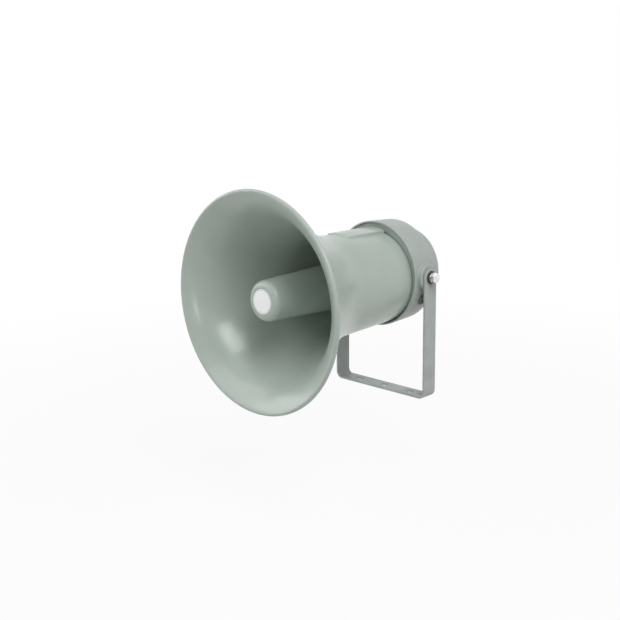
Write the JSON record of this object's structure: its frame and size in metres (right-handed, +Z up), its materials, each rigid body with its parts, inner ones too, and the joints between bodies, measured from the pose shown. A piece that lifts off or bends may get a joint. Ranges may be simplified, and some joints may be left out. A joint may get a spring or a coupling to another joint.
{
  "type": "re-entrant horn loudspeaker on a tilting bracket",
  "caption": "Round light grey re-entrant PA horn with a bullet reflector, stepped rear cover and tilting U-bracket.",
  "frame": {"origin": "under the middle of the whole speaker, on the plane of the bracket's underside", "axes": "-Y is the way the mouth faces, +Z is up, and the bracket's bolts lie along X"},
  "size_m": [0.22, 0.2328, 0.2363],
  "materials": {
    "horn_plastic": "light grey moulded, lightly glossy",
    "painted_steel": "light grey powder coat",
    "label_white": "smooth white film",
    "zinc": "bright zinc plate",
    "black_rubber": "matt black",
    "ferrite": "ground dark grey",
    "plated_steel": "yellow zinc plate",
    "copper": "enamelled copper winding",
    "film": "amber film",
    "brass": "turned brass",
    "grey_plastic": "dark grey moulded"
  },
  "bodies": {
    "bracket": {"bracket": "painted_steel"},
    "horn": {"back_plate": "plated_steel", "bell": "horn_plastic", "cable_grommet": "black_rubber", "cap_screw_1": "zinc", "cap_screw_2": "zinc", "cap_screw_3": "zinc", "cap_seal": "black_rubber", "end_cap": "horn_plastic", "front_plate": "grey_plastic", "horn_gasket": "black_rubber", "label_disc": "label_white", "left_bolt": "zinc", "left_insert": "brass", "left_lock_washer": "zinc", "left_washer": "black_rubber", "long_screw_1": "zinc", "long_screw_2": "zinc", "long_screw_3": "zinc", "long_screw_4": "zinc", "nose_screw": "zinc", "phase_plug": "grey_plastic", "rear_cover": "horn_plastic", "reflector": "horn_plastic", "right_bolt": "zinc", "right_insert": "brass", "right_lock_washer": "zinc", "right_washer": "black_rubber", "ring_magnet": "ferrite", "terminal_block": "grey_plastic", "throat_horn": "horn_plastic", "top_plate": "plated_steel", "transformer_coil": "film", "transformer_core": "plated_steel"},
    "moving_coil": {"diaphragm": "film", "voice_coil": "copper"}
  },
  "joints": [
    {"name": "tilt", "type": "hinge", "parent": "bracket", "child": "horn", "pos_m": [0, 0.0775, 0.1313], "axis": [1, 0, 0], "range_deg": [-235, 55]},
    {"name": "coil_travel", "type": "slide", "parent": "horn", "child": "moving_coil", "axis": [0, 1, 0], "range_m": [-0.00025, 0.00025], "stiffness_N_per_m": 10000}
  ]
}
